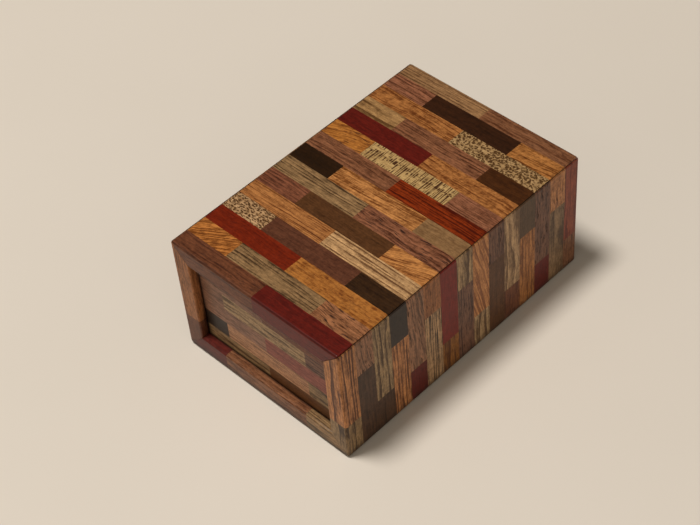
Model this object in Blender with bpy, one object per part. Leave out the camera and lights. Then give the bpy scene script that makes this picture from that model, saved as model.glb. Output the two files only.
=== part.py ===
"""A small parquetry puzzle box: four mitred walls of glued wood strips, two sliding end panels, a sliding
lid on hidden keys, and a tilt pin under the floor. Metres, +Z up, the origin under the middle of the base.
The end that shows in the usual view is the front, at -X; the lid opens towards it."""

import math

import bmesh
import bpy
from mathutils import Matrix, Vector

# The whole box
box_length = 0.0800
box_width = 0.0530
box_height = 0.0350
wall = 0.0052

# Courses of strips along the box. The boards are glued up a little long and trimmed at both ends
course_count = 15
end_trim = 0.0005

# Fits
glue_line = 0.00005
slide_fit = 0.00015
cut_overrun = 0.0010
weld_distance = 0.00001

# Arrises: the feet of the walls are worn round, the other edges are only eased. The ends of the walls are
# eased on the inside too, by a share of the outer easing
foot_round = 0.0012
top_round = 0.00065
end_round = 0.00060
inner_ease_share = 0.70
board_ease = 0.00025
arc_steps = 5

# End panels, and the grooves that carry them
end_recess = 0.0024
end_board = 0.0030
end_tongue = 0.0021
end_travel = 0.0024
raised_tongue = 0.0008
end_first_joint = 0.0039
end_pitch = 0.0050

# Splines glued across the lower mitres, and keys across the upper ones
spline_thick = 0.0008
spline_width = 0.0024
spline_end_margin = 0.0070
key_back_margin = 0.0100

# The block under the lid that ends its travel
stop_length = 0.0040
stop_width = 0.0200
stop_drop = 0.0030
stop_setback = 0.00645

# Inner boards
floor_thick = 0.0015
lining_thick = 0.0012
bulkhead_thick = 0.0020
lid_headroom = 0.0003

# Tilt pin, in its channel between the floor runners
pin_radius = 0.0006
pin_fit = 0.0002
pin_throw = 0.0018
pin_bite = 0.0012
pin_sides = 20

# Where strips meet end to end, across the width and up the height
wide_joint_shares = (0.25, 0.50, 0.75)
tall_joint_shares = (0.31, 0.69)
end_joint_shares = (0.24, 0.49, 0.74)
spline_share = 0.45

# Colour and roughness of each wood, and of the steel pin
woods = {
    "crimson": ((0.145, 0.018, 0.016), 0.42),
    "brick": ((0.230, 0.042, 0.022), 0.42),
    "amber": ((0.370, 0.160, 0.048), 0.45),
    "tiger": ((0.330, 0.140, 0.050), 0.45),
    "zebra": ((0.235, 0.165, 0.082), 0.48),
    "sand": ((0.390, 0.270, 0.140), 0.48),
    "fleck": ((0.300, 0.205, 0.105), 0.48),
    "rose": ((0.195, 0.090, 0.060), 0.46),
    "plum": ((0.105, 0.050, 0.045), 0.46),
    "walnut": ((0.155, 0.065, 0.040), 0.46),
    "umber": ((0.062, 0.032, 0.020), 0.44),
    "ebony": ((0.016, 0.012, 0.012), 0.40),
    "olive": ((0.125, 0.092, 0.045), 0.48),
    "cypress": ((0.480, 0.330, 0.180), 0.60),
}
steel_colour = (0.55, 0.55, 0.57)

# Strips of each course, front to back. Odd courses have one joint, even courses two.
lid_courses = (
    ("walnut", "crimson"),
    ("amber", "zebra", "rose"),
    ("brick", "amber"),
    ("fleck", "plum", "olive"),
    ("tiger", "sand"),
    ("plum", "umber", "amber"),
    ("zebra", "plum"),
    ("ebony", "amber", "olive"),
    ("rose", "brick"),
    ("amber", "sand", "plum"),
    ("crimson", "tiger"),
    ("zebra", "rose", "umber"),
    ("amber", "fleck"),
    ("rose", "ebony", "amber"),
    ("zebra", "walnut"),
)
base_courses = (
    ("brick", "walnut", "zebra"),
    ("olive", "rose"),
    ("amber", "umber", "sand"),
    ("plum", "tiger"),
    ("zebra", "crimson", "rose"),
    ("walnut", "fleck"),
    ("ebony", "amber", "olive"),
    ("rose", "zebra"),
    ("tiger", "plum", "amber"),
    ("sand", "walnut"),
    ("crimson", "olive", "rose"),
    ("amber", "umber"),
    ("plum", "zebra", "brick"),
    ("fleck", "rose"),
    ("walnut", "amber", "umber"),
)
right_courses = (
    ("tiger", "olive"),
    ("rose", "umber"),
    ("zebra", "plum"),
    ("ebony", "tiger"),
    ("plum", "crimson"),
    ("walnut", "sand"),
    ("crimson", "amber"),
    ("olive", "rose"),
    ("amber", "zebra"),
    ("plum", "umber"),
    ("zebra", "walnut"),
    ("olive", "amber"),
    ("plum", "crimson"),
    ("rose", "olive"),
    ("crimson", "walnut"),
)
left_courses = (
    ("amber", "plum"),
    ("zebra", "walnut"),
    ("crimson", "olive"),
    ("rose", "tiger"),
    ("umber", "fleck"),
    ("amber", "rose"),
    ("olive", "brick"),
    ("tiger", "plum"),
    ("sand", "walnut"),
    ("ebony", "zebra"),
    ("rose", "amber"),
    ("walnut", "crimson"),
    ("zebra", "umber"),
    ("amber", "rose"),
    ("plum", "olive"),
)
# Strips of the end panels, bottom course first
front_end_courses = (
    ("rose", "zebra", "amber"),
    ("olive", "umber"),
    ("ebony", "tiger", "zebra"),
    ("rose", "walnut"),
    ("walnut", "olive", "plum"),
    ("rose", "plum"),
    ("amber", "zebra", "umber"),
)
back_end_courses = (
    ("umber", "amber", "rose"),
    ("tiger", "plum"),
    ("zebra", "crimson", "olive"),
    ("amber", "umber"),
    ("walnut", "sand", "plum"),
    ("rose", "zebra"),
    ("umber", "amber", "walnut"),
)

# Places worked out from the sizes above
half_length = box_length / 2
half_width = box_width / 2
inside_half_width = half_width - wall
inside_floor = wall
lid_underside = box_height - wall
pitch = (box_length + 2 * end_trim) / course_count
first_line = -half_length - end_trim

end_outer_x = half_length - end_recess
end_inner_x = end_outer_x - end_board
end_half_width = inside_half_width + end_tongue
end_bottom = inside_floor - raised_tongue - end_travel
end_top = lid_underside - slide_fit
groove_bottom = end_bottom - slide_fit
groove_top = end_top + end_travel + slide_fit

spline_half_length = half_length - spline_end_margin
key_front_x = -spline_half_length
key_back_x = half_length - key_back_margin

pin_half_length = end_inner_x + pin_bite - pin_throw
pin_z = inside_floor + pin_fit + pin_radius
channel_half_width = pin_radius + pin_fit
runner_top = pin_z + channel_half_width

inner_half_length = end_inner_x - 2 * slide_fit
inner_half_width = inside_half_width - glue_line
floor_bottom = runner_top + glue_line
floor_top = floor_bottom + floor_thick
bulkhead_inner_x = inner_half_length - bulkhead_thick
inner_board_top = lid_underside - lid_headroom

stop_back_x = bulkhead_inner_x - stop_setback
stop_front_x = stop_back_x - stop_length
lid_travel = stop_front_x + bulkhead_inner_x - slide_fit


def clear_scene():
    """Start from an empty file, whatever was in it."""
    for old in list(bpy.data.objects):
        bpy.data.objects.remove(old, do_unlink=True)


def make_material(name, colour, roughness, metallic=0.0):
    """A plain Principled material."""
    material = bpy.data.materials.new(name)
    material.use_nodes = True
    shader = material.node_tree.nodes["Principled BSDF"]
    shader.inputs["Base Color"].default_value = (*colour, 1.0)
    shader.inputs["Roughness"].default_value = roughness
    shader.inputs["Metallic"].default_value = metallic
    return material


def link_mesh(name, bm, materials):
    """Turn a finished bmesh into a named object with its materials."""
    bmesh.ops.recalc_face_normals(bm, faces=bm.faces)
    mesh = bpy.data.meshes.new(name)
    bm.to_mesh(mesh)
    bm.free()
    for material in materials:
        mesh.materials.append(material)
    thing = bpy.data.objects.new(name, mesh)
    bpy.context.collection.objects.link(thing)
    return thing


def arc(centre, radius, start_degrees, end_degrees):
    """Points along an arc, both ends included."""
    points = []
    for step in range(arc_steps + 1):
        angle = math.radians(start_degrees + (end_degrees - start_degrees) * step / arc_steps)
        points.append((centre[0] + radius * math.cos(angle), centre[1] + radius * math.sin(angle)))
    return points


def round_stations():
    """Places along the box's length: every course line, with the eased arris at each end.
    Each is (x, how far the outer faces are drawn in there, the course that follows it)."""
    eased = arc((end_round, end_round), end_round, 180, 270)
    front = [(-half_length + x, drawn_in, 0) for x, drawn_in in eased]
    middle = [(first_line + pitch * course, 0.0, course) for course in range(1, course_count)]
    back = [(half_length - x, drawn_in, course_count - 1) for x, drawn_in in reversed(eased)]
    return front + middle + back


def side_section(drawn_in):
    """A side wall's cross-section, foot to top. a is measured in from the outer face, b up from the table.
    Returns the outer points, the inner points and, for each joint, its place in both lists."""
    foot = foot_round - drawn_in
    head = top_round - drawn_in
    joints = [share * box_height for share in tall_joint_shares]
    outer = arc((foot_round, foot_round), foot, 225, 180)
    first_joint = len(outer)
    outer += [(drawn_in, z) for z in joints]
    outer += arc((top_round, box_height - top_round), head, 180, 135)
    back = wall - inner_ease_share * drawn_in
    inner = [(back, back)] + [(back, z) for z in joints] + [(back, box_height - back)]
    places = [(first_joint + i, 1 + i) for i in range(len(joints))]
    return outer, inner, places


def flat_section(drawn_in, fit, corner):
    """The cross-section of the lid or the base, left to right, with its mitres held off by the fit.
    a is measured across from the left face, b in from the outer face."""
    shift = fit * math.sqrt(2)
    joints = [share * box_width for share in wide_joint_shares]
    left = arc((corner, corner), corner - drawn_in, 225, 270)
    outer = [(a + shift, b) for a, b in left]
    first_joint = len(outer)
    outer += [(a, drawn_in) for a in joints]
    outer += [(box_width - a - shift, b) for a, b in reversed(left)]
    back = wall - inner_ease_share * drawn_in
    inner = [(back + shift, back)] + [(a, back) for a in joints] + [(box_width - back - shift, back)]
    places = [(first_joint + i, 1 + i) for i in range(len(joints))]
    return outer, inner, places


def wide_strip(course, cell):
    """Strips across the width: three in a course with quarter joints, two in one with a middle joint."""
    return (0, 1, 1, 2)[cell] if len(course) == 3 else (0, 0, 1, 1)[cell]


def tall_strip(number, cell):
    """Strips up a side wall, counted from the top. Joints are low in odd courses and high in even ones."""
    low_joint = number % 2 == 0
    return (1, 0, 0)[cell] if low_joint else (1, 1, 0)[cell]


def strip_board(name, stations, section, place, courses, pick):
    """A board of glued strips: sections joined along its length, with a face for each strip that shows."""
    names = sorted({wood for course in courses for wood in course})
    bm = bmesh.new()
    rings = []
    for x, drawn_in, course in stations:
        outer, inner, joints = section(drawn_in)
        outer_verts = [bm.verts.new(place(x, a, b)) for a, b in outer]
        inner_verts = [bm.verts.new(place(x, a, b)) for a, b in inner]
        rings.append((outer_verts, inner_verts, joints, course))

    def wood_at(number, cell):
        course = courses[number]
        return names.index(course[pick(number, cell)])

    def cell_at(index, joints, side):
        return sum(1 for joint in joints if index >= joint[side])

    for (outer_a, inner_a, joints, course), (outer_b, inner_b, _, _) in zip(rings, rings[1:]):
        for side, (line_a, line_b) in enumerate(((outer_a, outer_b), (inner_a, inner_b))):
            for i in range(len(line_a) - 1):
                face = bm.faces.new((line_a[i], line_a[i + 1], line_b[i + 1], line_b[i]))
                face.material_index = wood_at(course, cell_at(i, joints, side))
        for i, cell in ((0, 0), (-1, len(joints))):
            face = bm.faces.new((outer_a[i], inner_a[i], inner_b[i], outer_b[i]))
            face.material_index = wood_at(course, cell)
    for outer, inner, joints, course in (rings[0], rings[-1]):
        cuts = [(0, 0)] + list(joints) + [(len(outer) - 1, len(inner) - 1)]
        for cell, (low, high) in enumerate(zip(cuts, cuts[1:])):
            loop = outer[low[0]:high[0] + 1] + list(reversed(inner[low[1]:high[1] + 1]))
            face = bm.faces.new(loop)
            face.material_index = wood_at(course, cell)
    return link_mesh(name, bm, [wood_material(wood) for wood in names])


def wood_material(name):
    """The shared material of one wood."""
    if name in bpy.data.materials:
        return bpy.data.materials[name]
    colour, roughness = woods[name]
    return make_material(name, colour, roughness)


def box_mesh(name, low, high, materials=(), ease=0.0):
    """A block from its lowest to its highest corner, its edges eased if asked."""
    bm = bmesh.new()
    bmesh.ops.create_cube(bm, size=1.0)
    size = Vector(high) - Vector(low)
    bmesh.ops.scale(bm, vec=size, verts=bm.verts)
    if ease:
        bmesh.ops.bevel(bm, geom=bm.edges[:], offset=ease, segments=1, affect="EDGES")
    thing = link_mesh(name, bm, materials)
    thing.location = (Vector(low) + Vector(high)) / 2
    return thing


def turned(name, outline, materials):
    """A turned rod along X: an outline of (x, radius) points spun about its axis."""
    bm = bmesh.new()
    verts = [bm.verts.new((x, radius, 0.0)) for x, radius in outline]
    edges = [bm.edges.new(pair) for pair in zip(verts, verts[1:])]
    bmesh.ops.spin(bm, geom=verts + edges, axis=(1, 0, 0), cent=(0, 0, 0), angle=math.tau, steps=pin_sides)
    bmesh.ops.remove_doubles(bm, verts=bm.verts, dist=weld_distance)
    bmesh.ops.holes_fill(bm, edges=[edge for edge in bm.edges if edge.is_boundary])
    thing = link_mesh(name, bm, materials)
    thing.data.shade_smooth()
    thing.data.set_sharp_from_angle(angle=math.radians(40))
    return thing


def cut(thing, cutter):
    """Cut one object from another. The cutter stays as a hidden wire guide."""
    cutter.hide_render = True
    cutter.display_type = "WIRE"
    modifier = thing.modifiers.new("cut_" + cutter.name, "BOOLEAN")
    modifier.operation = "DIFFERENCE"
    modifier.solver = "EXACT"
    modifier.object = cutter


def mitre_slip(name, side, upper, front_x, back_x, fit, materials=()):
    """A flat slip set square across a mitre: a spline, a key or, with a fit, the slot for one.
    side is +1 on the left and -1 on the right. Its flat faces lie along the box."""
    length = back_x - front_x + 2 * fit
    bm = bmesh.new()
    bmesh.ops.create_cube(bm, size=1.0)
    size = (length, spline_width + 2 * fit, spline_thick + 2 * fit)
    bmesh.ops.scale(bm, vec=size, verts=bm.verts)
    thing = link_mesh(name, bm, materials)
    in_from_corner = spline_share * wall
    z = box_height - in_from_corner if upper else in_from_corner
    thing.location = ((front_x + back_x) / 2, side * (half_width - in_from_corner), z)
    tilt = 45 if upper else -45
    thing.rotation_euler = (math.radians(-side * tilt + 90), 0.0, 0.0)
    return thing


def end_slot(name, x_side):
    """The room that an end panel needs in the walls, the base and the lid, at both its limits."""
    near = x_side * (end_inner_x - slide_fit)
    far = x_side * (end_outer_x + slide_fit)
    reach = end_half_width + slide_fit
    return box_mesh(name, (min(near, far), -reach, groove_bottom), (max(near, far), reach, groove_top))


def make_shell():
    """The four mitred walls, with their grooves and slots."""
    stations = round_stations()

    def left_place(x, a, b):
        return (x, half_width - a, b)

    def right_place(x, a, b):
        return (x, a - half_width, b)

    def base_place(x, a, b):
        return (x, half_width - a, b)

    def lid_place(x, a, b):
        return (x, half_width - a, box_height - b)

    left = strip_board("left_wall", stations, side_section, left_place, left_courses, tall_strip)
    right = strip_board("right_wall", stations, side_section, right_place, right_courses, tall_strip)
    base = strip_board(
        "base", stations, lambda drawn_in: flat_section(drawn_in, glue_line, foot_round), base_place,
        base_courses, lambda number, cell: wide_strip(base_courses[number], cell))
    lid = strip_board(
        "lid", stations, lambda drawn_in: flat_section(drawn_in, slide_fit, top_round), lid_place,
        lid_courses, lambda number, cell: wide_strip(lid_courses[number], cell))

    front_slot = end_slot("front_end_slot", -1)
    back_slot = end_slot("back_end_slot", 1)
    for board in (left, right, base, lid):
        cut(board, front_slot)
        cut(board, back_slot)

    catch = end_slot("open_catch_slot", -1)
    catch.location.x += lid_travel
    cut(lid, catch)

    for side, board, label in ((1, left, "left"), (-1, right, "right")):
        spline_slot = mitre_slip(
            label + "_spline_slot", side, False, -spline_half_length, spline_half_length, glue_line)
        cut(board, spline_slot)
        cut(base, spline_slot)
        cut(board, mitre_slip(label + "_key_seat", side, True, key_front_x, key_back_x, glue_line))
        cut(lid, mitre_slip(
            label + "_key_way", side, True, key_front_x, half_length + cut_overrun, slide_fit))
    return lid


def make_slips():
    """The splines in the lower mitres and the keys that hold the lid."""
    for side, label in ((1, "left"), (-1, "right")):
        pale = [wood_material("cypress")]
        mitre_slip(
            label + "_base_spline", side, False, -spline_half_length, spline_half_length, 0.0, pale)
        mitre_slip(label + "_lid_key", side, True, key_front_x, key_back_x, 0.0, pale)


def end_stations():
    """Heights of the course lines of an end panel, from its bottom edge to its top edge."""
    lines = [end_bottom]
    line = inside_floor + end_first_joint
    while line - end_pitch > end_bottom:
        line -= end_pitch
    while line < end_top:
        lines.append(line)
        line += end_pitch
    lines.append(end_top)
    return [(z, 0.0, min(course, len(lines) - 2)) for course, z in enumerate(lines)]


def make_end_panel(name, x_side, courses):
    """A strip board that slides up and down in the grooves of the walls, the base and the lid."""
    middle_x = x_side * (end_inner_x + end_outer_x) / 2

    def section(_):
        joints = [share * box_width - half_width for share in end_joint_shares]
        line = [end_half_width] + [-joint for joint in joints] + [-end_half_width]
        outer = [(y, end_board / 2) for y in line]
        inner = [(y, -end_board / 2) for y in line]
        return outer, inner, [(1 + i, 1 + i) for i in range(len(joints))]

    def place(z, y, depth):
        return (x_side * depth, y, z - end_bottom)

    stations = end_stations()
    full = [courses[number % len(courses)] for number in range(len(stations))]
    panel = strip_board(
        name, stations, section, place, full, lambda number, cell: wide_strip(full[number], cell))
    panel.location = (middle_x, 0.0, end_bottom)

    hole_length = pin_bite + slide_fit
    for label, drop in (("low", 0.0), ("raised", end_travel)):
        bm = bmesh.new()
        bmesh.ops.create_cone(
            bm, segments=pin_sides, radius1=pin_radius + pin_fit, radius2=pin_radius + pin_fit,
            depth=hole_length + cut_overrun, cap_ends=True)
        bmesh.ops.rotate(bm, verts=bm.verts, matrix=Matrix.Rotation(math.radians(90), 3, "Y"))
        hole = link_mesh(name + "_" + label + "_hole", bm, ())
        reach = end_inner_x + hole_length / 2 - cut_overrun / 2
        hole.location = (x_side * reach, 0.0, pin_z - drop)
        cut(panel, hole)
    return panel


def make_inside():
    """Two runners with the pin's channel between them, the floor board on top, and on that the fixed
    bulkheads and the side linings."""
    pale = [wood_material("cypress")]
    for y_side, name in ((1, "left_floor_runner"), (-1, "right_floor_runner")):
        ys = sorted((y_side * channel_half_width, y_side * inner_half_width))
        low = (-inner_half_length, ys[0], inside_floor + glue_line)
        box_mesh(name, low, (inner_half_length, ys[1], runner_top), pale)
    low = (-inner_half_length, -inner_half_width, floor_bottom)
    box_mesh("floor_board", low, (inner_half_length, inner_half_width, floor_top), pale)

    stand = floor_top + glue_line
    for x_side, name in ((-1, "front_bulkhead"), (1, "back_bulkhead")):
        xs = sorted((x_side * bulkhead_inner_x, x_side * inner_half_length))
        low = (xs[0], -inner_half_width, stand)
        box_mesh(name, low, (xs[1], inner_half_width, inner_board_top), pale, board_ease)
    lining_half_length = bulkhead_inner_x - glue_line
    for y_side, name in ((1, "left_lining"), (-1, "right_lining")):
        ys = sorted((y_side * inner_half_width, y_side * (inner_half_width - lining_thick)))
        low = (-lining_half_length, ys[0], stand)
        box_mesh(name, low, (lining_half_length, ys[1], inner_board_top), pale, board_ease)


def make_lid_stop(lid):
    """The block glued under the lid: it meets the front bulkhead when the lid is fully open."""
    top = lid_underside - glue_line
    stop = box_mesh(
        "lid_stop", (stop_front_x, -stop_width / 2, top - stop_drop),
        (stop_front_x + stop_length, stop_width / 2, top), [wood_material("umber")], board_ease)
    stop.parent = lid


def make_pin():
    """The steel pin: it runs to one end or the other as the box is tipped."""
    dome = arc((pin_half_length - pin_radius, 0.0), pin_radius, 90, 0)
    tip = [(x, radius) for x, radius in dome[:-1]]
    tail = [(-x, radius) for x, radius in reversed(tip)]
    pin = turned("tilt_pin", tail + tip, [make_material("steel", steel_colour, 0.3, 1.0)])
    pin.location = (0.0, 0.0, pin_z)


clear_scene()
lid_board = make_shell()
make_slips()
make_end_panel("front_end_panel", -1, front_end_courses)
make_end_panel("back_end_panel", 1, back_end_courses)
make_inside()
make_lid_stop(lid_board)
make_pin()
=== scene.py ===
# %% [markdown]
# # A parquetry puzzle box
# The box is built from solid boards, each glued up from short strips of many woods, and the strips run right
# through the board. Its four walls meet in mitres round two recessed end panels; the lid and the end panels
# slide. Here the shapes come from the fixed frame, and this file gives them their woods: it cuts each board
# along its real glue joints, tells every strip which wood it is and where its grain runs, and paints that
# grain with procedural nodes in three dimensions, so that it carries on over the edges as it does in wood.

# %% Load the frame
import math
import random

import bmesh
import bpy
from mathutils import Matrix, Vector


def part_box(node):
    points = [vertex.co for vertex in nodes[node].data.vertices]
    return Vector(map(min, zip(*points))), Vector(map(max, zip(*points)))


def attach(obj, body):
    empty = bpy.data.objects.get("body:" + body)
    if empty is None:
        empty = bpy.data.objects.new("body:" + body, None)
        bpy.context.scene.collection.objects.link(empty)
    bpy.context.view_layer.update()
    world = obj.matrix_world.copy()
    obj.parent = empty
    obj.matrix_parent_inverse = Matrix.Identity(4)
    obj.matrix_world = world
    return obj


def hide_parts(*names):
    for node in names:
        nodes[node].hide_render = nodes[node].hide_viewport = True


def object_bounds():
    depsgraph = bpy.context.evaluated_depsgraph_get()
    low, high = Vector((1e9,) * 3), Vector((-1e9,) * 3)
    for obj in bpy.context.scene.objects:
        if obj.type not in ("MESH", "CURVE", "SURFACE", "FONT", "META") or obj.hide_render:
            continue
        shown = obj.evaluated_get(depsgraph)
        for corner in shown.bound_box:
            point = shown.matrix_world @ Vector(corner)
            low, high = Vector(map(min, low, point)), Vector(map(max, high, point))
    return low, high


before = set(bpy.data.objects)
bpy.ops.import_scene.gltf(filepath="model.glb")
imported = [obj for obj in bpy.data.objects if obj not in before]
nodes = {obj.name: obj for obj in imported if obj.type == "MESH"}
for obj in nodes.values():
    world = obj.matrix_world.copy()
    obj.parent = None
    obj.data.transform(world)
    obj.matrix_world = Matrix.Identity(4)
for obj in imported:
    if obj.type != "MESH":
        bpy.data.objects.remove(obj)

cad_bounds = [list(map(float, corner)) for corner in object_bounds()]

# %% Measure the box
low_corner, high_corner = (Vector(corner) for corner in cad_bounds)
box_length, box_width, box_height = high_corner - low_corner
half_length = box_length / 2
half_width = box_width / 2
wall = box_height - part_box("lid")[0].z
end_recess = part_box("front_end_panel")[0].x + half_length
course_count = 15
end_trim = 0.0005
pitch = (box_length + 2 * end_trim) / course_count
millimetre = 0.001
print(f"box {box_length:.4f} x {box_width:.4f} x {box_height:.4f} m, wall {wall:.4f} m, pitch {pitch:.5f} m")

# %% [markdown]
# ## The camera
# The photograph was taken from above the front right corner with a long lens. The outline of the box and its
# strip joints fix the view: they give the azimuth, elevation, roll, distance and focal length used here.
# Distances are in box lengths, so the view would follow if the box were made larger.

# %% Camera
photo_width_px = 700
focal_px = 1683.7
sensor_width_mm = 36.0
view_azimuth = math.radians(-41.760)
view_elevation = math.radians(46.544)
view_roll = -0.10080
aim_right_lengths = -0.10717
aim_up_lengths = 0.11600
distance_lengths = 5.1149
nearest_seen = 0.01

back = Vector((
    math.sin(view_azimuth) * math.cos(view_elevation),
    -math.cos(view_azimuth) * math.cos(view_elevation),
    math.sin(view_elevation)))
level_right = Vector((0, 0, 1)).cross(back).normalized()
level_up = back.cross(level_right)
right = math.cos(view_roll) * level_right + math.sin(view_roll) * level_up
up = math.cos(view_roll) * level_up - math.sin(view_roll) * level_right

camera_data = bpy.data.cameras.new("camera")
camera_data.sensor_width = sensor_width_mm
camera_data.lens = focal_px / photo_width_px * sensor_width_mm
camera_data.clip_start = nearest_seen
camera = bpy.data.objects.new("camera", camera_data)
bpy.context.scene.collection.objects.link(camera)
place = back * distance_lengths + right * aim_right_lengths + up * aim_up_lengths
turn = Matrix((right, up, back)).transposed().to_4x4()
camera.matrix_world = Matrix.Translation(place * box_length) @ turn
bpy.context.scene.camera = camera
print(f"lens {camera_data.lens:.2f} mm, {distance_lengths * box_length:.3f} m away")

# %% [markdown]
# ## Small helpers for node trees
# A material is a graph, and a graph is easier to read when each node takes one line. `add` makes a node,
# sets its options and fills its inputs with numbers, colours or the sockets of other nodes.

# %% Node helpers
def add(tree, kind, inputs=(), **settings):
    """Add a shader node; inputs is a dict of socket name or number to a value or another node's output."""
    node = tree.nodes.new("ShaderNode" + kind)
    for name, value in settings.items():
        setattr(node, name, value)
    for key, value in dict(inputs).items():
        if isinstance(value, bpy.types.NodeSocket):
            tree.links.new(value, node.inputs[key])
        else:
            node.inputs[key].default_value = value
    return node


def math_node(tree, operation, *values, clamp=False):
    """One Math node, and its result."""
    return add(tree, "Math", dict(enumerate(values)), operation=operation, use_clamp=clamp).outputs[0]


def vector_of(tree, x, y, z):
    """Three numbers or sockets as one vector."""
    return add(tree, "CombineXYZ", {0: x, 1: y, 2: z}).outputs[0]


def noise(tree, vector, scale=1.0, detail=2.0, roughness=0.5):
    """Noise, which varies about one half."""
    inputs = {"Vector": vector, "Scale": scale, "Detail": detail, "Roughness": roughness}
    return add(tree, "TexNoise", inputs).outputs["Fac"]


def step(tree, value, low, high):
    """A smooth step from 0 at low to 1 at high."""
    inputs = {"Value": value, "From Min": low, "From Max": high}
    return add(tree, "MapRange", inputs, interpolation_type="SMOOTHSTEP").outputs[0]


def mix_colour(tree, share, first, second):
    """Two colours mixed by a share."""
    node = add(tree, "Mix", data_type="RGBA")
    for socket, value in ((0, share), (6, first), (7, second)):
        if isinstance(value, bpy.types.NodeSocket):
            tree.links.new(value, node.inputs[socket])
        else:
            node.inputs[socket].default_value = value
    return node.outputs[2]


def group(name, inputs, outputs):
    """An empty node group with named sockets. Returns it with its input and output nodes."""
    tree = bpy.data.node_groups.new(name, "ShaderNodeTree")
    for socket, kind in inputs:
        tree.interface.new_socket(socket, in_out="INPUT", socket_type="NodeSocket" + kind)
    for socket, kind in outputs:
        tree.interface.new_socket(socket, in_out="OUTPUT", socket_type="NodeSocket" + kind)
    return tree, tree.nodes.new("NodeGroupInput"), tree.nodes.new("NodeGroupOutput")


def linear(red, green, blue):
    """A colour written as a screen shows it, 0 to 255, turned into the linear light that shaders use."""
    channels = (red / 255, green / 255, blue / 255)
    return [c / 12.92 if c < 0.04045 else ((c + 0.055) / 1.055) ** 2.4 for c in channels] + [1.0]


print("node helpers ready")

# %% [markdown]
# ## Wood grain as a solid
# Wood is a bundle of long fibres laid down in yearly layers. The group below follows that: `Grain` is a
# position inside one strip in millimetres, X along its fibres. A layer darkens slowly and ends at a sharp
# line, as spring wood turns to summer wood; the layers are uneven, tilt through the strip and wander a
# little. Fibres are noise stretched along them, pores are short dark dashes, and curl is the slanting light
# and dark of a wavy plank. Slant leans the fibres inside the strip, as in a board not sawn along them. The
# numbers in the group are how often each kind of mark repeats per millimetre, and where it begins and ends.

# %% The grain group
WOOD_INPUTS = (
    ("Grain", "Vector"), ("Tone", "Float"), ("Light", "Color"), ("Dark", "Color"),
    ("Line Spacing", "Float"), ("Line Strength", "Float"), ("Line Crispness", "Float"), ("Slant", "Float"),
    ("Waviness", "Float"), ("Fibre Strength", "Float"), ("Pore Width", "Float"), ("Pore Strength", "Float"),
    ("Curl Strength", "Float"), ("Mottle Strength", "Float"))
layer_tilt = 0.45
usual_share_of_dark = 0.28
tone_range = 0.06
cell_contrast = 0.85
pore_black = (0.010, 0.004, 0.002, 1.0)


def scaled(tree, parts, along, across, through):
    """The three parts of a grain position, each times its own scale."""
    factors = zip(parts, (along, across, through))
    return vector_of(tree, *(math_node(tree, "MULTIPLY", part, factor) for part, factor in factors))


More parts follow.
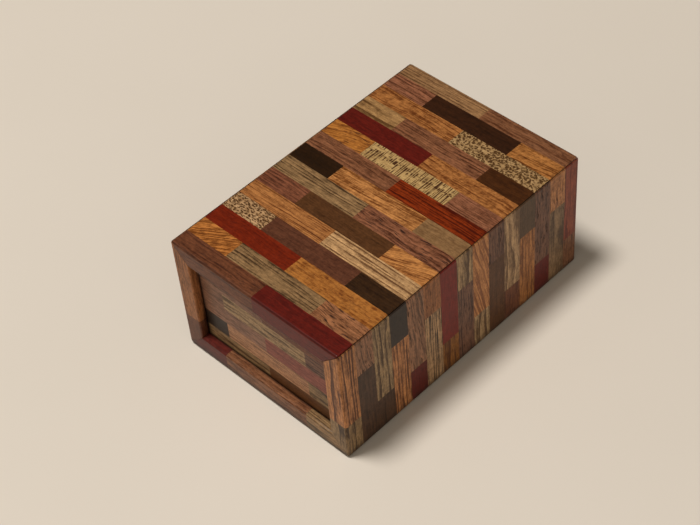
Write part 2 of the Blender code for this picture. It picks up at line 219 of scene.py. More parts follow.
def make_grain_group():
    """The colour, the height and the open pores at a place in a strip."""
    tree, source, result = group(
        "wood_grain", WOOD_INPUTS, (("Color", "Color"), ("Height", "Float"), ("Pores", "Float")))
    take = source.outputs
    along, across, through = add(tree, "SeparateXYZ", {0: take["Grain"]}).outputs

    drift = noise(tree, scaled(tree, (along, across, through), 0.09, 0.15, 0.15))
    drift = math_node(tree, "SUBTRACT", drift, 0.5)
    leaning = math_node(tree, "MULTIPLY_ADD", along, take["Slant"], across)
    across = math_node(tree, "MULTIPLY_ADD", drift, take["Waviness"], leaning)
    layer = math_node(tree, "MULTIPLY_ADD", through, layer_tilt, across)
    layer = math_node(tree, "DIVIDE", layer, take["Line Spacing"])

    unevenness = noise(tree, scaled(tree, (along, layer, through), 0.02, 0.55, 0.0))
    layer = math_node(tree, "MULTIPLY_ADD", unevenness, 2.5, layer)
    season = math_node(tree, "FRACT", layer)
    lines = math_node(tree, "POWER", season, take["Line Crispness"])
    year = noise(tree, scaled(tree, (along, math_node(tree, "FLOOR", layer), through), 0.06, 7.31, 0.05))
    lines = math_node(tree, "MULTIPLY", lines, step(tree, year, 0.32, 0.60))

    place = (along, across, through)
    fibres = noise(tree, scaled(tree, place, 0.17, 2.1, 2.1), detail=4.0, roughness=0.75)
    curl_along = math_node(tree, "MULTIPLY_ADD", across, 0.6, along)
    curl_place = scaled(tree, (curl_along, across, through), 1.0, 1.1, 0.8)
    curl = step(tree, noise(tree, curl_place, detail=3.0, roughness=0.7), 0.35, 0.65)
    mottle = step(tree, noise(tree, take["Grain"], scale=0.55, detail=5.0, roughness=0.75), 0.30, 0.70)
    slim = math_node(tree, "DIVIDE", 0.8, take["Pore Width"])
    long = math_node(tree, "MULTIPLY", slim, 0.14)
    pore_noise = noise(tree, scaled(tree, place, long, slim, slim), detail=1.0)
    pores = step(tree, pore_noise, 0.58, 0.68)

    share = math_node(tree, "MULTIPLY", lines, take["Line Strength"])
    for value, strength in ((fibres, "Fibre Strength"), (curl, "Curl Strength"), (mottle, "Mottle Strength")):
        centred = math_node(tree, "SUBTRACT", value, 0.5)
        share = math_node(tree, "MULTIPLY_ADD", centred, take[strength], share)
    share = math_node(tree, "ADD", share, usual_share_of_dark, clamp=True)
    colour = mix_colour(tree, share, take["Light"], take["Dark"])
    open_pores = math_node(tree, "MULTIPLY", pores, take["Pore Strength"], clamp=True)
    pore_colour = mix_colour(tree, 0.5, take["Dark"], pore_black)
    colour = mix_colour(tree, open_pores, colour, pore_colour)
    cells = noise(tree, scaled(tree, place, 1.3, 2.6, 2.6), roughness=0.7)
    cells = math_node(tree, "SUBTRACT", cells, 0.5)
    brightness = math_node(tree, "MULTIPLY_ADD", take["Tone"], tone_range, 1.0)
    brightness = math_node(tree, "MULTIPLY_ADD", cells, cell_contrast, brightness)
    toned = add(tree, "VectorMath", {0: colour, "Scale": brightness}, operation="SCALE").outputs[0]
    tree.links.new(toned, result.inputs["Color"])
    height = math_node(tree, "SUBTRACT", math_node(tree, "MULTIPLY", fibres, 0.5), open_pores)
    tree.links.new(height, result.inputs["Height"])
    tree.links.new(open_pores, result.inputs["Pores"])
    return tree


grain_group = make_grain_group()
print("wood_grain has", len(grain_group.nodes), "nodes")

# %% [markdown]
# ## Flecks and dashes
# Three strips on the lid are figured in ways that layers can't give. One is spotted like a leopard's coat and
# one has a finer crossed figure, which cell noise gives, its cells longer along the fibres. One is sawn so
# that fine dark dashes lie across it, more of them near its edges, with thicker ones along a thin line by its
# middle. Each is a mask that darkens plain grain.

# %% Fleck and dash groups
fleck_softness = 0.13
dash_rows_per_mm = 1.5
strip_width_mm = pitch / millimetre
dark_line_place_mm = 0.56 * strip_width_mm


def make_fleck_group():
    """Dark spots, longer along the fibres, whose spacing is set in millimetres."""
    tree, source, result = group(
        "flecks", (
            ("Grain", "Vector"), ("Fleck Length", "Float"), ("Fleck Width", "Float"), ("Coverage", "Float")),
        (("Flecks", "Float"),))
    along, across, through = add(tree, "SeparateXYZ", {0: source.outputs["Grain"]}).outputs
    wander = noise(tree, source.outputs["Grain"], scale=0.9)
    across = math_node(tree, "MULTIPLY_ADD", wander, 1.1, across)
    place = vector_of(
        tree, math_node(tree, "DIVIDE", along, source.outputs["Fleck Length"]),
        math_node(tree, "DIVIDE", across, source.outputs["Fleck Width"]),
        math_node(tree, "DIVIDE", through, source.outputs["Fleck Width"]))
    cells = add(tree, "TexVoronoi", {"Vector": place, "Scale": 1.0, "Randomness": 0.8}).outputs["Distance"]
    ragged = noise(tree, place, scale=2.1, detail=1.0)
    reach = math_node(tree, "MULTIPLY_ADD", ragged, 0.5, cells)
    low = math_node(tree, "SUBTRACT", source.outputs["Coverage"], fleck_softness)
    high = math_node(tree, "ADD", source.outputs["Coverage"], fleck_softness)
    flecks = math_node(tree, "SUBTRACT", 1.0, step(tree, reach, low, high))
    tree.links.new(flecks, result.inputs["Flecks"])
    return tree


def make_dash_group():
    """Rows of fine dark dashes square to the strip, more of them near its edges, with a thin dark line and
    thicker dashes down one side of its middle."""
    tree, source, result = group("dashes", (("Grain", "Vector"),), (("Dashes", "Float"),))
    along, across, through = add(tree, "SeparateXYZ", {0: source.outputs["Grain"]}).outputs
    wobble = noise(tree, scaled(tree, (along, across, through), 0.80, 0.05, 0.2), detail=1.0)
    rows = math_node(tree, "MULTIPLY_ADD", wobble, 1.5, along)
    rows = math_node(tree, "MULTIPLY", rows, dash_rows_per_mm)
    number = math_node(tree, "FLOOR", rows)
    from_row = math_node(tree, "ABSOLUTE", math_node(tree, "SUBTRACT", math_node(tree, "FRACT", rows), 0.5))
    row = math_node(tree, "SUBTRACT", 1.0, step(tree, from_row, 0.10, 0.34))
    crowds = noise(tree, scaled(tree, (along, across, through), 0.32, 0.35, 0.2))
    length = noise(tree, scaled(tree, (number, across, through), 7.31, 0.60, 0.2), detail=0.0)
    length = math_node(tree, "MULTIPLY_ADD", crowds, 0.9, length)
    off_centre = math_node(tree, "ABSOLUTE", math_node(tree, "SUBTRACT", across, strip_width_mm / 2))
    length = math_node(tree, "MULTIPLY_ADD", off_centre, 0.08, length)
    dashes = math_node(tree, "MULTIPLY", row, step(tree, length, 0.88, 0.99))
    depth = noise(tree, scaled(tree, (number, across, through), 3.77, 0.40, 0.2), detail=0.0)
    dashes = math_node(tree, "MULTIPLY", dashes, step(tree, depth, 0.22, 0.58))
    off_line = math_node(tree, "ABSOLUTE", math_node(tree, "SUBTRACT", across, dark_line_place_mm))
    by_line = math_node(tree, "SUBTRACT", 1.0, step(tree, off_line, 0.45, 1.10))
    blots = step(tree, noise(tree, scaled(tree, (number, across, through), 3.17, 1.1, 0.3)), 0.47, 0.55)
    blots = math_node(tree, "MULTIPLY", blots, by_line)
    thick_row = math_node(tree, "SUBTRACT", 1.0, step(tree, from_row, 0.24, 0.44))
    blots = math_node(tree, "MULTIPLY", blots, thick_row)
    line = math_node(tree, "SUBTRACT", 1.0, step(tree, off_line, 0.06, 0.20))
    line = math_node(tree, "MULTIPLY", line, 0.5)
    dark = math_node(tree, "MAXIMUM", dashes, math_node(tree, "MAXIMUM", blots, line))
    tree.links.new(dark, result.inputs["Dashes"])
    return tree


fleck_group = make_fleck_group()
dash_group = make_dash_group()
print("flecks and dashes ready")

# %% [markdown]
# ## Worn arrises and painted shade
# A handled box darkens along its level outer edges, where the finish is thin and skin oils gather, and less
# along its upright ones. The mask is 1 on a level edge and fades over half a millimetre. An edge is where two
# outer faces meet, so the larger of the distances to those two faces tells how far off it is, and no edge has
# to be marked by hand. The mask also fades up from the foot over three millimetres: painted contact shade
# where the box stands on the table, with some dust. It also paints shade in the corner where an end panel
# meets the walls round it.

# %% Wear and painted shade group
upright_edge_share = 0.2


def make_wear_and_shade_group():
    """A mask of the worn edges, with painted shade and some dust at the foot and painted shade round the end
    panels.
    """
    tree, source, result = group(
        "wear_and_painted_shade", (
            ("Position", "Vector"), ("Reach", "Float"), ("Foot Shade And Dust Reach", "Float"), ("Panel Corner Shade Reach", "Float")),
        (("Wear And Shade", "Float"),))
    parts = add(tree, "SeparateXYZ", {0: source.outputs["Position"]}).outputs
    depths = []
    for part, half, middle in (
            (parts[0], half_length, 0.0),
            (parts[1], half_width, 0.0),
            (parts[2], box_height / 2, box_height / 2)):
        offset = math_node(tree, "ABSOLUTE", math_node(tree, "SUBTRACT", part, middle))
        depths.append(math_node(tree, "SUBTRACT", half, offset))
    from_upright_face = math_node(tree, "MINIMUM", depths[0], depths[1])
    from_level_edge = math_node(tree, "MAXIMUM", from_upright_face, depths[2])
    from_upright_edge = math_node(tree, "MAXIMUM", depths[0], depths[1])
    # Distance from the corners round the end panels, where painted shade goes.
    from_panel = math_node(tree, "ABSOLUTE", math_node(tree, "SUBTRACT", depths[0], end_recess))
    past_walls = math_node(tree, "MINIMUM", depths[1], depths[2])
    from_walls = math_node(tree, "ABSOLUTE", math_node(tree, "SUBTRACT", past_walls, wall))
    from_seam = math_node(tree, "MAXIMUM", from_panel, from_walls)
    mask = 0.0
    for distance, reach, strength in (
            (from_level_edge, "Reach", 1.0),
            (from_upright_edge, "Reach", upright_edge_share),
            # Painted contact shade up from the foot, with some dust.
            (parts[2], "Foot Shade And Dust Reach", 1.0),
            # Painted shade in the corners round the end panels.
            (from_seam, "Panel Corner Shade Reach", 1.0)):
        near = math_node(tree, "SUBTRACT", 1.0, step(tree, distance, 0.0, source.outputs[reach]))
        mask = math_node(tree, "MAXIMUM", mask, math_node(tree, "MULTIPLY", near, strength))
    tree.links.new(mask, result.inputs["Wear And Shade"])
    return tree


wear_and_shade_group = make_wear_and_shade_group()
print("wear_and_painted_shade ready")

# %% [markdown]
# ## The woods
# Each row is one wood: its light and dark colours as a screen shows them, and how its grain differs from a
# plain straight one. The names say what the strip looks like. Each colour was typed in, and changed
# until the mean tone of its strips, with their lines, pores and light, came close to the photograph's.

# %% Table of woods
PLAIN_GRAIN = {
    "Line Spacing": 1.1, "Line Strength": 0.6, "Line Crispness": 2.0, "Slant": 0.0, "Waviness": 1.2,
    "Fibre Strength": 3.0, "Pore Width": 0.20, "Pore Strength": 0.40, "Curl Strength": 0.15,
    "Mottle Strength": 0.35}
SMOOTH = {"Line Strength": 0.3, "Fibre Strength": 2.2, "Pore Strength": 0.25, "Mottle Strength": 0.5}
FINE_LINES = {"Line Spacing": 0.85, "Line Strength": 1.0, "Line Crispness": 2.5, "Fibre Strength": 3.4}
ZEBRA = {"Line Spacing": 1.0, "Line Strength": 1.6, "Line Crispness": 2.4}
EVEN_ZEBRA = {
    "Line Spacing": 1.0, "Line Strength": 1.3, "Line Crispness": 3.0, "Waviness": 0.6, "Fibre Strength": 2.4,
    "Pore Strength": 0.2}
BOLD = {"Line Spacing": 1.5, "Line Strength": 1.9, "Line Crispness": 1.8, "Fibre Strength": 3.4}
WAVY = {
    "Curl Strength": 0.45, "Waviness": 1.6, "Line Strength": 1.0, "Line Spacing": 0.8, "Line Crispness": 1.2,
    "Fibre Strength": 3.2, "Pore Strength": 0.2}
STREAKED = {
    "Pore Width": 0.30, "Pore Strength": 0.8, "Waviness": 2.6, "Line Strength": 0.8, "Fibre Strength": 3.4}
WOODS = {
    "walnut": ((112, 66, 42), (60, 29, 16), {}),
    "warm_walnut": ((130, 86, 57), (74, 39, 20), {"Pore Strength": 0.6}),
    "chestnut": ((154, 99, 59), (90, 50, 24), {"Pore Strength": 0.6}),
    "crimson": ((94, 25, 16), (63, 13, 8), SMOOTH),
    "deep_crimson": ((92, 34, 27), (64, 20, 14), SMOOTH),
    "scarlet": ((122, 32, 20), (82, 16, 8), SMOOTH),
    "brick": ((114, 34, 10), (78, 16, 3), SMOOTH),
    "brick_lined": ((134, 64, 40), (84, 24, 10), FINE_LINES | {"Line Spacing": 1.4}),
    "red_tiger": ((136, 50, 13), (66, 14, 2), EVEN_ZEBRA | {"Line Spacing": 0.8, "Line Crispness": 2.0}),
    "amber": (
        (168, 108, 49), (104, 53, 16),
        {"Mottle Strength": 0.5, "Line Strength": 0.4, "Curl Strength": 0.4}),
    "bronze": ((138, 88, 38), (76, 40, 12), BOLD),
    "curly_amber": (
        (184, 116, 55), (102, 54, 17),
        WAVY | {"Slant": 0.60, "Line Crispness": 1.0, "Curl Strength": 0.6}),
    "flecked_amber": (
        (176, 113, 50), (104, 54, 17),
        STREAKED | {"Slant": 0.3, "Pore Width": 0.34, "Pore Strength": 1.0}),
    "flecked_tan": ((178, 120, 73), (116, 70, 37), STREAKED | {"Pore Width": 0.34, "Mottle Strength": 0.9}),
    "fine_orange": ((171, 113, 62), (94, 49, 19), FINE_LINES | {"Line Spacing": 0.6, "Line Strength": 1.3}),
    "slant_orange": ((190, 128, 70), (94, 46, 14), FINE_LINES | {"Slant": 0.30, "Line Spacing": 1.1}),
    "slant_copper": ((192, 132, 80), (126, 74, 38), BOLD | {"Slant": 0.24, "Line Spacing": 1.1}),
    "wavy_gold": (
        (191, 130, 73), (102, 55, 20),
        WAVY | {"Slant": 0.06, "Curl Strength": 0.35, "Mottle Strength": 0.15}),
    "honey": ((180, 119, 62), (94, 50, 17), WAVY | {"Slant": 0.08}),
    "copper": (
        (173, 113, 60), (100, 52, 20),
        WAVY | {"Line Strength": 0.8, "Mottle Strength": 0.5, "Fibre Strength": 2.6}),
    "tiger": (
        (190, 128, 78), (84, 46, 24),
        ZEBRA | {"Line Strength": 1.8, "Line Crispness": 2.0, "Waviness": 0.6}),
    "peach_zebra": ((184, 134, 96), (102, 66, 44), EVEN_ZEBRA | {"Line Spacing": 0.7}),
    "olive_zebra": ((152, 118, 79), (62, 42, 24), EVEN_ZEBRA | {"Line Spacing": 0.9}),
    "striped_olive": ((162, 132, 94), (72, 50, 31), ZEBRA | {"Line Spacing": 1.7, "Waviness": 1.5}),
    "pale_zebra": (
        (204, 160, 110), (100, 67, 40),
        EVEN_ZEBRA | {"Line Strength": 1.1, "Line Crispness": 2.0}),
    "grey_zebra": ((182, 143, 102), (56, 37, 23), EVEN_ZEBRA | {"Line Spacing": 0.8, "Line Strength": 1.6}),
    "deep_olive": ((142, 113, 78), (62, 43, 26), ZEBRA | {"Line Spacing": 1.7, "Waviness": 1.6}),
    "light_olive": ((174, 142, 102), (84, 60, 38), ZEBRA | {"Line Spacing": 1.9, "Waviness": 1.6}),
    "striped_sand": (
        (180, 137, 87), (92, 62, 32),
        {"Line Spacing": 2.4, "Line Strength": 1.2, "Fibre Strength": 2.0}),
    "curved_sand": (
        (184, 148, 108), (100, 72, 46),
        BOLD | {"Line Spacing": 2.2, "Line Strength": 1.5, "Waviness": 3.2}),
    "tan_stripe": ((160, 120, 80), (84, 54, 31), EVEN_ZEBRA | {"Line Spacing": 0.85}),
    "plain_olive": ((141, 106, 69), (96, 66, 39), SMOOTH),
    "mottled_olive": ((138, 108, 76), (72, 50, 31), BOLD | {"Line Spacing": 4.5, "Line Strength": 1.2}),
    "flecked_beige": ((190, 152, 110), (140, 102, 64), {}),
    "leopard": ((178, 143, 98), (136, 103, 62), {}),
    "dashed_sand": ((186, 152, 99), (142, 108, 64), {"Line Strength": 0.0}),
    "rose": ((142, 92, 62), (70, 37, 20), FINE_LINES),
    "streaked_rose": ((154, 102, 67), (68, 37, 20), STREAKED | {"Pore Strength": 1.0}),
    "mauve": ((148, 95, 67), (77, 41, 23), FINE_LINES | {"Line Strength": 1.1}),
    "streaked_mauve": ((154, 108, 78), (84, 56, 38), STREAKED | {"Slant": 0.12}),
    "dusty_mauve": ((142, 102, 80), (92, 64, 50), STREAKED | {"Pore Width": 0.24, "Pore Strength": 0.5}),
    "grey_mauve": ((122, 84, 64), (66, 42, 32), FINE_LINES | {"Pore Width": 0.26, "Pore Strength": 0.7}),
    "plum": ((128, 77, 53), (68, 35, 21), FINE_LINES),
    "streaked_plum": ((144, 92, 64), (70, 37, 22), STREAKED | {"Pore Strength": 1.0}),
    "speckled_plum": ((116, 78, 58), (68, 42, 30), STREAKED | {"Pore Width": 0.26, "Pore Strength": 0.9}),
    "red_plum": ((136, 76, 62), (94, 46, 38), {"Pore Strength": 0.5}),
    "dark_plum": ((98, 58, 39), (62, 31, 18), SMOOTH),
    "umber": ((90, 56, 30), (60, 34, 14), SMOOTH),
    "grey_umber": ((80, 54, 36), (46, 28, 16), SMOOTH | {"Line Strength": 0.8}),
    "dark_umber": ((73, 40, 16), (45, 21, 6), SMOOTH),
    "dark_olive": ((90, 65, 42), (60, 42, 25), SMOOTH),
    "smoked": ((62, 39, 19), (34, 17, 6), SMOOTH | {"Line Strength": 0.7}),
    "ebony": ((44, 25, 9), (28, 15, 4), SMOOTH),
    "black_brown": ((56, 30, 14), (34, 17, 7), SMOOTH),
    "slate": ((50, 38, 30), (36, 27, 20), SMOOTH),
}
print(len(WOODS), "woods")

# %% [markdown]
# ## One material for each wood
# Every wood has the same graph with its own values: the grain group gives the colour, the wear and shade
# group darkens the worn outer edges and paints shade at the foot and round the end panels, and open pores are
# duller than the waxed wood between them. The wax is thin, so the roughness is middling and the specular
# level low;
# the level is set on the shader itself.

# %% Wood materials
FLECKS = {
    "flecked_beige": {"Fleck Length": 1.05, "Fleck Width": 0.42, "Coverage": 0.70},
    "leopard": {"Fleck Length": 0.68, "Fleck Width": 0.47, "Coverage": 0.79},
}
fleck_brown = linear(76, 50, 25)
dash_brown = linear(66, 38, 20)
# The brown of worn edges, also used as painted shade at the foot and round the end panels.
wear_and_shade_brown = linear(27, 13, 8)
wear_and_shade_share = 0.80
wear_and_shade_reaches = {"Reach": 0.0005, "Foot Shade And Dust Reach": 0.0030, "Panel Corner Shade Reach": 0.0007}
waxed_roughness = 0.36
pore_roughness = 0.60
thin_wax_specular = 0.17
pore_depth = 0.00006


def place_group(tree, node_tree, values):
    """Put a group into a material, with numbers, colours or sockets for its inputs."""
    node = tree.nodes.new("ShaderNodeGroup")
    node.node_tree = node_tree
    for name, value in values.items():
        if isinstance(value, bpy.types.NodeSocket):
            tree.links.new(value, node.inputs[name])
        else:
            node.inputs[name].default_value = value
    return node.outputs


def make_wood(name):
    """The material of one wood."""
    light, dark, changes = WOODS[name]
    material = bpy.data.materials.new(name)
    material.use_nodes = True
    tree = material.node_tree
    shader = tree.nodes["Principled BSDF"]
    grain = add(tree, "Attribute", attribute_name="grain_mm").outputs["Vector"]
    tone = add(tree, "Attribute", attribute_name="strip_tone").outputs["Fac"]
    values = PLAIN_GRAIN | changes | {
        "Grain": grain, "Tone": tone, "Light": linear(*light), "Dark": linear(*dark)}
    wood = place_group(tree, grain_group, values)
    colour = wood["Color"]
    if name in FLECKS:
        flecks = place_group(tree, fleck_group, {"Grain": grain} | FLECKS[name])["Flecks"]
        colour = mix_colour(tree, flecks, colour, fleck_brown)
    if name == "dashed_sand":
        dashes = place_group(tree, dash_group, {"Grain": grain})["Dashes"]
        colour = mix_colour(tree, dashes, colour, dash_brown)
    position = add(tree, "TexCoord").outputs["Object"]
    wear_and_shade = place_group(tree, wear_and_shade_group, {"Position": position} | wear_and_shade_reaches)["Wear And Shade"]
    # Edge wear, with painted shade at the foot and in the corners round the end panels.
    worn = mix_colour(tree, math_node(tree, "MULTIPLY", wear_and_shade, wear_and_shade_share), colour, wear_and_shade_brown)
    tree.links.new(worn, shader.inputs["Base Color"])
    dull = add(tree, "MapRange", {
        "Value": wood["Pores"], "To Min": waxed_roughness, "To Max": pore_roughness}).outputs[0]
    tree.links.new(dull, shader.inputs["Roughness"])
    bump = add(tree, "Bump", {"Height": wood["Height"], "Strength": 0.35, "Distance": pore_depth})
    tree.links.new(bump.outputs["Normal"], shader.inputs["Normal"])
    shader.inputs["Specular IOR Level"].default_value = thin_wax_specular
    return material


wood_materials = {name: make_wood(name) for name in WOODS}
print(len(wood_materials), "wood materials")

# %% [markdown]
# ## Which strip is which wood
# The courses of the walls are written front to back, one to a line, each from the left of the box to its
# right, or from the top of a side wall down. Three strips in a course meet at the quarters of the width, two
# at its middle; on the side walls the joint is low in one course and high in the next. The end panels are
# written from the bottom up, each course from left to right. This is a random pattern of the common kind.

# %% Courses of every board
LID = """walnut crimson
curly_amber olive_zebra streaked_rose
brick amber
flecked_beige dark_plum smoked
fine_orange pale_zebra
plum umber slant_orange
olive_zebra streaked_plum
ebony wavy_gold plain_olive
rose red_tiger
flecked_amber dashed_sand mauve
crimson copper
striped_sand rose dark_umber
copper leopard
mauve black_brown honey
tan_stripe warm_walnut"""
BASE = """deep_crimson warm_walnut olive_zebra
plain_olive rose
wavy_gold umber pale_zebra
plum tiger
tan_stripe crimson mauve
walnut flecked_beige
ebony amber olive_zebra
rose striped_sand
fine_orange dark_plum copper
leopard walnut
crimson plain_olive streaked_rose
amber umber
streaked_plum olive_zebra brick
pale_zebra rose
warm_walnut wavy_gold dark_umber"""
RIGHT = """tiger deep_olive
streaked_mauve grey_umber
striped_olive grey_umber
slate tiger
streaked_mauve crimson
chestnut grey_zebra
scarlet bronze
light_olive grey_mauve
slant_copper light_olive
speckled_plum umber
curved_sand walnut
dark_olive fine_orange
speckled_plum crimson
flecked_tan mottled_olive
brick_lined warm_walnut"""
LEFT = """chestnut dark_plum
olive_zebra walnut
crimson plain_olive
rose tiger
umber flecked_beige
amber mauve
striped_sand brick
slant_orange plum
pale_zebra walnut
ebony olive_zebra
streaked_rose amber
warm_walnut crimson
tan_stripe dark_umber
wavy_gold rose
plum plain_olive"""
FRONT_END = """rose olive_zebra amber
deep_olive umber
slate peach_zebra deep_olive
dusty_mauve red_plum
dusty_mauve light_olive grey_mauve
dusty_mauve plum
amber olive_zebra umber"""
BACK_END = """umber amber rose
tiger plum
olive_zebra crimson plain_olive
copper umber
walnut pale_zebra plum
rose striped_sand
umber amber walnut"""


def courses_of(text):
    """A board's table as a list of courses, each a list of woods."""
    return [line.split() for line in text.splitlines()]


print(sum(len(text.split()) for text in (LID, BASE, RIGHT, LEFT, FRONT_END, BACK_END)), "strips")

# %% [markdown]
# ## Cutting a board into strips
# The frame already has each board's true shape, grooves and slots included. A copy is cut along every course
# line and every joint line with `bisect_plane`, which only adds edges, so the board stays one closed body.
# Then each face is given the wood of the strip it lies in, and each of its corners a place in that strip:
# along its fibres, across it and through it. A random offset for each strip makes every one a different piece
# of its tree. The place is kept on face corners, so two strips can share an edge and still differ.

# %% Strip builder
weld_distance = 1e-7
widest_offset_mm = 40
sharp_angle = math.radians(28)


def cut_lines(bm, axis, values):
    """Add edges where planes square to an axis cross the mesh."""
    normal = Vector((axis == 0, axis == 1, axis == 2))
    for value in values:
        parts = bm.verts[:] + bm.edges[:] + bm.faces[:]
        bmesh.ops.bisect_plane(bm, geom=parts, plane_co=normal * value, plane_no=normal)


def strip_board(name, node, body, seed, stack_axis, lines, fibre_axis, joints_of, courses):
    """Copy a node's mesh as a board of strips. Courses are stacked between the lines on one axis, and their
    strips run along another; joints_of gives the joints of a course, in the order its strips are named."""
    source = nodes[node]
    bm = bmesh.new()
    bm.from_mesh(source.data)
    bmesh.ops.remove_doubles(bm, verts=bm.verts, dist=weld_distance)
    cut_lines(bm, stack_axis, lines)
    cut_lines(bm, fibre_axis, sorted({joint for number in (0, 1) for joint in joints_of(number)}))
    through_axis = 3 - stack_axis - fibre_axis
    used = sorted({wood for course in courses for wood in course})
    chance = random.Random(seed)
    offsets = [
        [Vector(chance.uniform(-widest_offset_mm, widest_offset_mm) for _ in range(3)) for _ in course]
        for course in courses]
    tones = [[chance.uniform(-1, 1) for _ in course] for course in courses]
    grain = bm.loops.layers.float_vector.new("grain_mm")
    tone = bm.faces.layers.float.new("strip_tone")
    for face in bm.faces:
        middle = face.calc_center_median()
        number = sum(1 for line in lines if middle[stack_axis] > line)
        strip = sum(1 for joint in joints_of(number) if middle[fibre_axis] < joint)
        face.material_index = used.index(courses[number][strip])
        face[tone] = tones[number][strip]
        face.smooth = True
        shift = offsets[number][strip]
        course_start = lines[number] - pitch if number < len(lines) else lines[-1]
        for loop in face.loops:
            co = loop.vert.co
            loop[grain] = Vector((
                co[fibre_axis] / millimetre + shift.x,
                (co[stack_axis] - course_start) / millimetre,
                co[through_axis] / millimetre + shift.z))
    mesh = bpy.data.meshes.new(name)
    bm.to_mesh(mesh)
    bm.free()
    for wood in used:
        mesh.materials.append(wood_materials[wood])
    mesh.set_sharp_from_angle(angle=sharp_angle)
    board = bpy.data.objects.new(name, mesh)
    bpy.context.scene.collection.objects.link(board)
    board.modifiers.new("flat_faces", "WEIGHTED_NORMAL").keep_sharp = True
    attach(board, body)
    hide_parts(node)
    print(f"{name}: {sum(len(course) for course in courses)} strips, {len(mesh.polygons)} faces")


# %% [markdown]
# ## The lid, the base and the side walls
# The strips of the lid and base lie across the box and those of the walls stand upright, all in the same
# fifteen courses, so the course lines meet at the mitres. One call makes each board.

# %% Wall boards
course_lines = [pitch * number - half_length - end_trim for number in range(1, course_count)]
quarter = box_width / 4


def wide_joints(number):
    """Joints across the lid: by turns one in the middle and two at the quarters."""
    return (0.0,) if number % 2 == 0 else (quarter, -quarter)


def base_joints(number):
    """The same across the base, one course out of step."""
    return wide_joints(number + 1)


low_joint = 0.31 * box_height
high_joint = 0.69 * box_height


def tall_joints(number):
    """Joints up a side wall: by turns one low and one high."""
    return (low_joint,) if number % 2 == 0 else (high_joint,)


X, Y, Z = 0, 1, 2
strip_board("strip_lid", "lid", "sliding_lid", 11, X, course_lines, Y, wide_joints, courses_of(LID))
strip_board("strip_base", "base", "shell", 12, X, course_lines, Y, base_joints, courses_of(BASE))
strip_board("strip_right_wall", "right_wall", "shell", 13, X, course_lines, Z, tall_joints, courses_of(RIGHT))
strip_board("strip_left_wall", "left_wall", "shell", 14, X, course_lines, Z, tall_joints, courses_of(LEFT))

# %% [markdown]
# ## The end panels
# Their courses lie flat, one above another, and are a little narrower than those along the box. The lowest
# joint that shows is about four millimetres above the floor of the recess; the rest are counted from it.

# %% End boards
end_pitch = 0.0050
lowest_joint_above_recess = 0.0039
three_strip_joints = (0.24, 0.74)
two_strip_joints = (0.49,)
first_joint = wall + lowest_joint_above_recess
end_low, end_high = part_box("front_end_panel")
below = math.floor((first_joint - end_low.z) / end_pitch)
end_lines = [first_joint + end_pitch * number for number in range(-below, len(courses_of(FRONT_END)))]
end_lines = [line for line in end_lines if end_low.z < line < end_high.z]


def end_joints(number):
    """Joints of the end panels: by turns two and one, from the lowest course up."""
    shares = three_strip_joints if number % 2 == 0 else two_strip_joints
    return [half_width - share * box_width for share in shares]


for name, node, body, seed, text in (
        ("strip_front_end", "front_end_panel", "front_panel", 21, FRONT_END),
        ("strip_back_end", "back_end_panel", "back_panel", 22, BACK_END)):
    strip_board(name, node, body, seed, Z, end_lines, Y, end_joints, courses_of(text))

# %% [markdown]
# ## Inner boards
# The pieces inside are plain wood, each cut from one plank, so their own CAD meshes stay and only need a
# material. They have no strip attributes, so their grain takes its place from the object itself, with the
# fibres along the piece's longest side. They are sanded but not waxed.

# %% Inner wood
CYPRESS = ((214, 178, 128), (176, 134, 84), {"Line Spacing": 1.5})
BEECH = ((180, 132, 92), (138, 90, 54), {"Line Strength": 0.3})
sanded_roughness = 0.58


def make_inner_wood(name, wood, fibre_axis):
    """A plank of one wood whose fibres lie along X, Y or Z of the box."""
    light, dark, changes = wood
    material = bpy.data.materials.new(name)
    material.use_nodes = True
    tree = material.node_tree
    shader = tree.nodes["Principled BSDF"]
    position = add(tree, "TexCoord").outputs["Object"]
    parts = add(tree, "SeparateXYZ", {0: position}).outputs
    order = [fibre_axis] + [axis for axis in (X, Y, Z) if axis != fibre_axis]
    in_mm = [math_node(tree, "DIVIDE", parts[axis], millimetre) for axis in order]
    values = PLAIN_GRAIN | changes | {
        "Grain": vector_of(tree, *in_mm), "Tone": 0.0, "Light": linear(*light), "Dark": linear(*dark)}
    planks = place_group(tree, grain_group, values)
    tree.links.new(planks["Color"], shader.inputs["Base Color"])
    bump = add(tree, "Bump", {"Height": planks["Height"], "Strength": 0.4, "Distance": pore_depth})
    tree.links.new(bump.outputs["Normal"], shader.inputs["Normal"])
    shader.inputs["Roughness"].default_value = sanded_roughness
    return material


def dress(node, material):
    """Give a CAD node its material in every slot."""
    thing = nodes[node]
    thing.data.materials.clear()
    thing.data.materials.append(material)


plank_along = make_inner_wood("cypress_along_box", CYPRESS, X)
plank_across = make_inner_wood("cypress_across_box", CYPRESS, Y)
key_wood = make_inner_wood("beech_key", BEECH, X)
stop_wood = make_inner_wood("umber_stop", WOODS["dark_umber"], Y)
for node in ("floor_board", "left_floor_runner", "right_floor_runner", "left_lining", "right_lining"):
    dress(node, plank_along)
for node in ("front_bulkhead", "back_bulkhead"):
    dress(node, plank_across)
for node in ("left_base_spline", "right_base_spline", "left_lid_key", "right_lid_key"):
    dress(node, key_wood)
dress("lid_stop", stop_wood)
print("inner pieces dressed")

# %% [markdown]
# ## The tilt pin
# A cut length of drawn steel wire. Drawing leaves fine lines along it, which noise stretched along X gives,
# and its roughness varies a little where it has rubbed in its channel.

# %% Steel
lines_per_metre = (200.0, 9000.0, 9000.0)
pale_steel = linear(202, 202, 204)
grey_steel = linear(150, 150, 154)
bright_roughness = 0.22
rubbed_roughness = 0.42


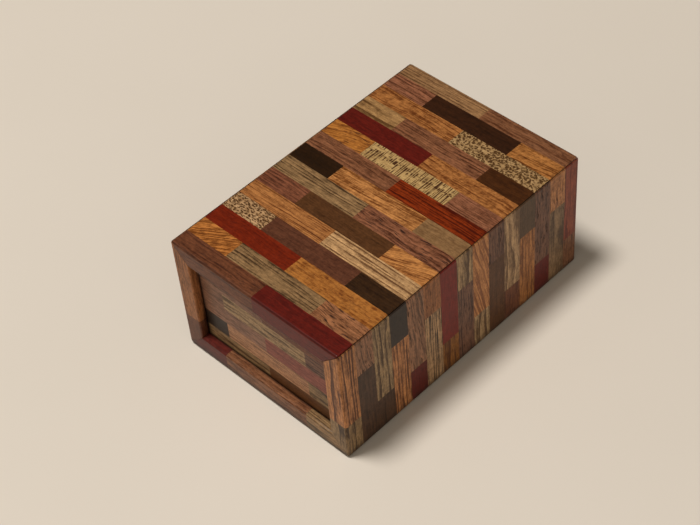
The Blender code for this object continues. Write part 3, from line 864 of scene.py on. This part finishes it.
def make_steel():
    """Drawn wire, with its fine lines along X."""
    material = bpy.data.materials.new("drawn_steel")
    material.use_nodes = True
    tree = material.node_tree
    shader = tree.nodes["Principled BSDF"]
    position = add(tree, "TexCoord").outputs["Object"]
    stretch = add(tree, "VectorMath", {0: position, 1: lines_per_metre}, operation="MULTIPLY").outputs[0]
    lines = noise(tree, stretch, detail=3.0)
    colour = mix_colour(tree, lines, grey_steel, pale_steel)
    tree.links.new(colour, shader.inputs["Base Color"])
    dull = add(tree, "MapRange", {
        "Value": lines, "To Min": bright_roughness, "To Max": rubbed_roughness}).outputs[0]
    tree.links.new(dull, shader.inputs["Roughness"])
    shader.inputs["Metallic"].default_value = 1.0
    return material


dress("tilt_pin", make_steel())
print("pin dressed")

# %% [markdown]
# ## Table and light
# The box stands on a plain cream surface under one soft round lamp, high up and a little to its left, which
# leaves the right side in gentle shade. The world fills the shadows; it is brightest low down at the front
# and the right, and dimmest high up at the back left. Together they light the top at about the level at which
# a colour looks as it is written.

# %% Floor
floor_half = 1.5
cream = linear(220, 210, 197)
dull_cream = linear(215, 205, 191)
clouds_per_metre = 14.0
floor_roughness = 0.7


def make_floor():
    """A plain surface with faint clouds of tone."""
    half = floor_half
    mesh = bpy.data.meshes.new("floor")
    corners = [(-half, -half, 0), (half, -half, 0), (half, half, 0), (-half, half, 0)]
    mesh.from_pydata(corners, [], [(0, 1, 2, 3)])
    floor = bpy.data.objects.new("floor", mesh)
    bpy.context.scene.collection.objects.link(floor)
    material = bpy.data.materials.new("cream_surface")
    material.use_nodes = True
    tree = material.node_tree
    shader = tree.nodes["Principled BSDF"]
    position = add(tree, "TexCoord").outputs["Object"]
    cloud = noise(tree, position, scale=clouds_per_metre, detail=3.0)
    colour = mix_colour(tree, cloud, cream, dull_cream)
    tree.links.new(colour, shader.inputs["Base Color"])
    shader.inputs["Roughness"].default_value = floor_roughness
    mesh.materials.append(material)


make_floor()
print("floor ready")

# %% Lights
lamp_distance = 1.30
lamp_way = Vector((-0.20, 0.155, 1.0))
lamp_width = 0.30
lamp_power = 13.4
lamp_colour = (1.0, 0.978, 0.946)
dimmest_way = Vector((0.52, 0.47, 0.71))
fill_colour = (1.0, 0.91, 0.785, 1.0)
fill_strength = {"From Min": -0.2, "From Max": 0.7, "To Min": 0.68, "To Max": 0.04}


def aim(thing, place, target):
    """Put a lamp somewhere and point it at a spot."""
    thing.location = place
    thing.rotation_euler = (Vector(target) - Vector(place)).to_track_quat("-Z", "Y").to_euler()


lamp_data = bpy.data.lights.new("lamp", "AREA")
lamp_data.shape = "DISK"
lamp_data.size = lamp_width
lamp_data.energy = lamp_power
lamp_data.color = lamp_colour
lamp = bpy.data.objects.new("lamp", lamp_data)
bpy.context.scene.collection.objects.link(lamp)
aim(lamp, lamp_way.normalized() * lamp_distance, (0.0, 0.0, 0.0))

world = bpy.data.worlds.new("world")
world.use_nodes = True
sky = world.node_tree
direction = add(sky, "TexCoord").outputs["Generated"]
facing = add(sky, "VectorMath", {0: direction, 1: dimmest_way}, operation="DOT_PRODUCT")
level = add(sky, "MapRange", {"Value": facing.outputs["Value"]} | fill_strength)
sky.links.new(level.outputs[0], sky.nodes["Background"].inputs["Strength"])
sky.nodes["Background"].inputs["Color"].default_value = fill_colour
bpy.context.scene.world = world
bpy.context.scene.view_settings.view_transform = "Standard"
print("lights ready")
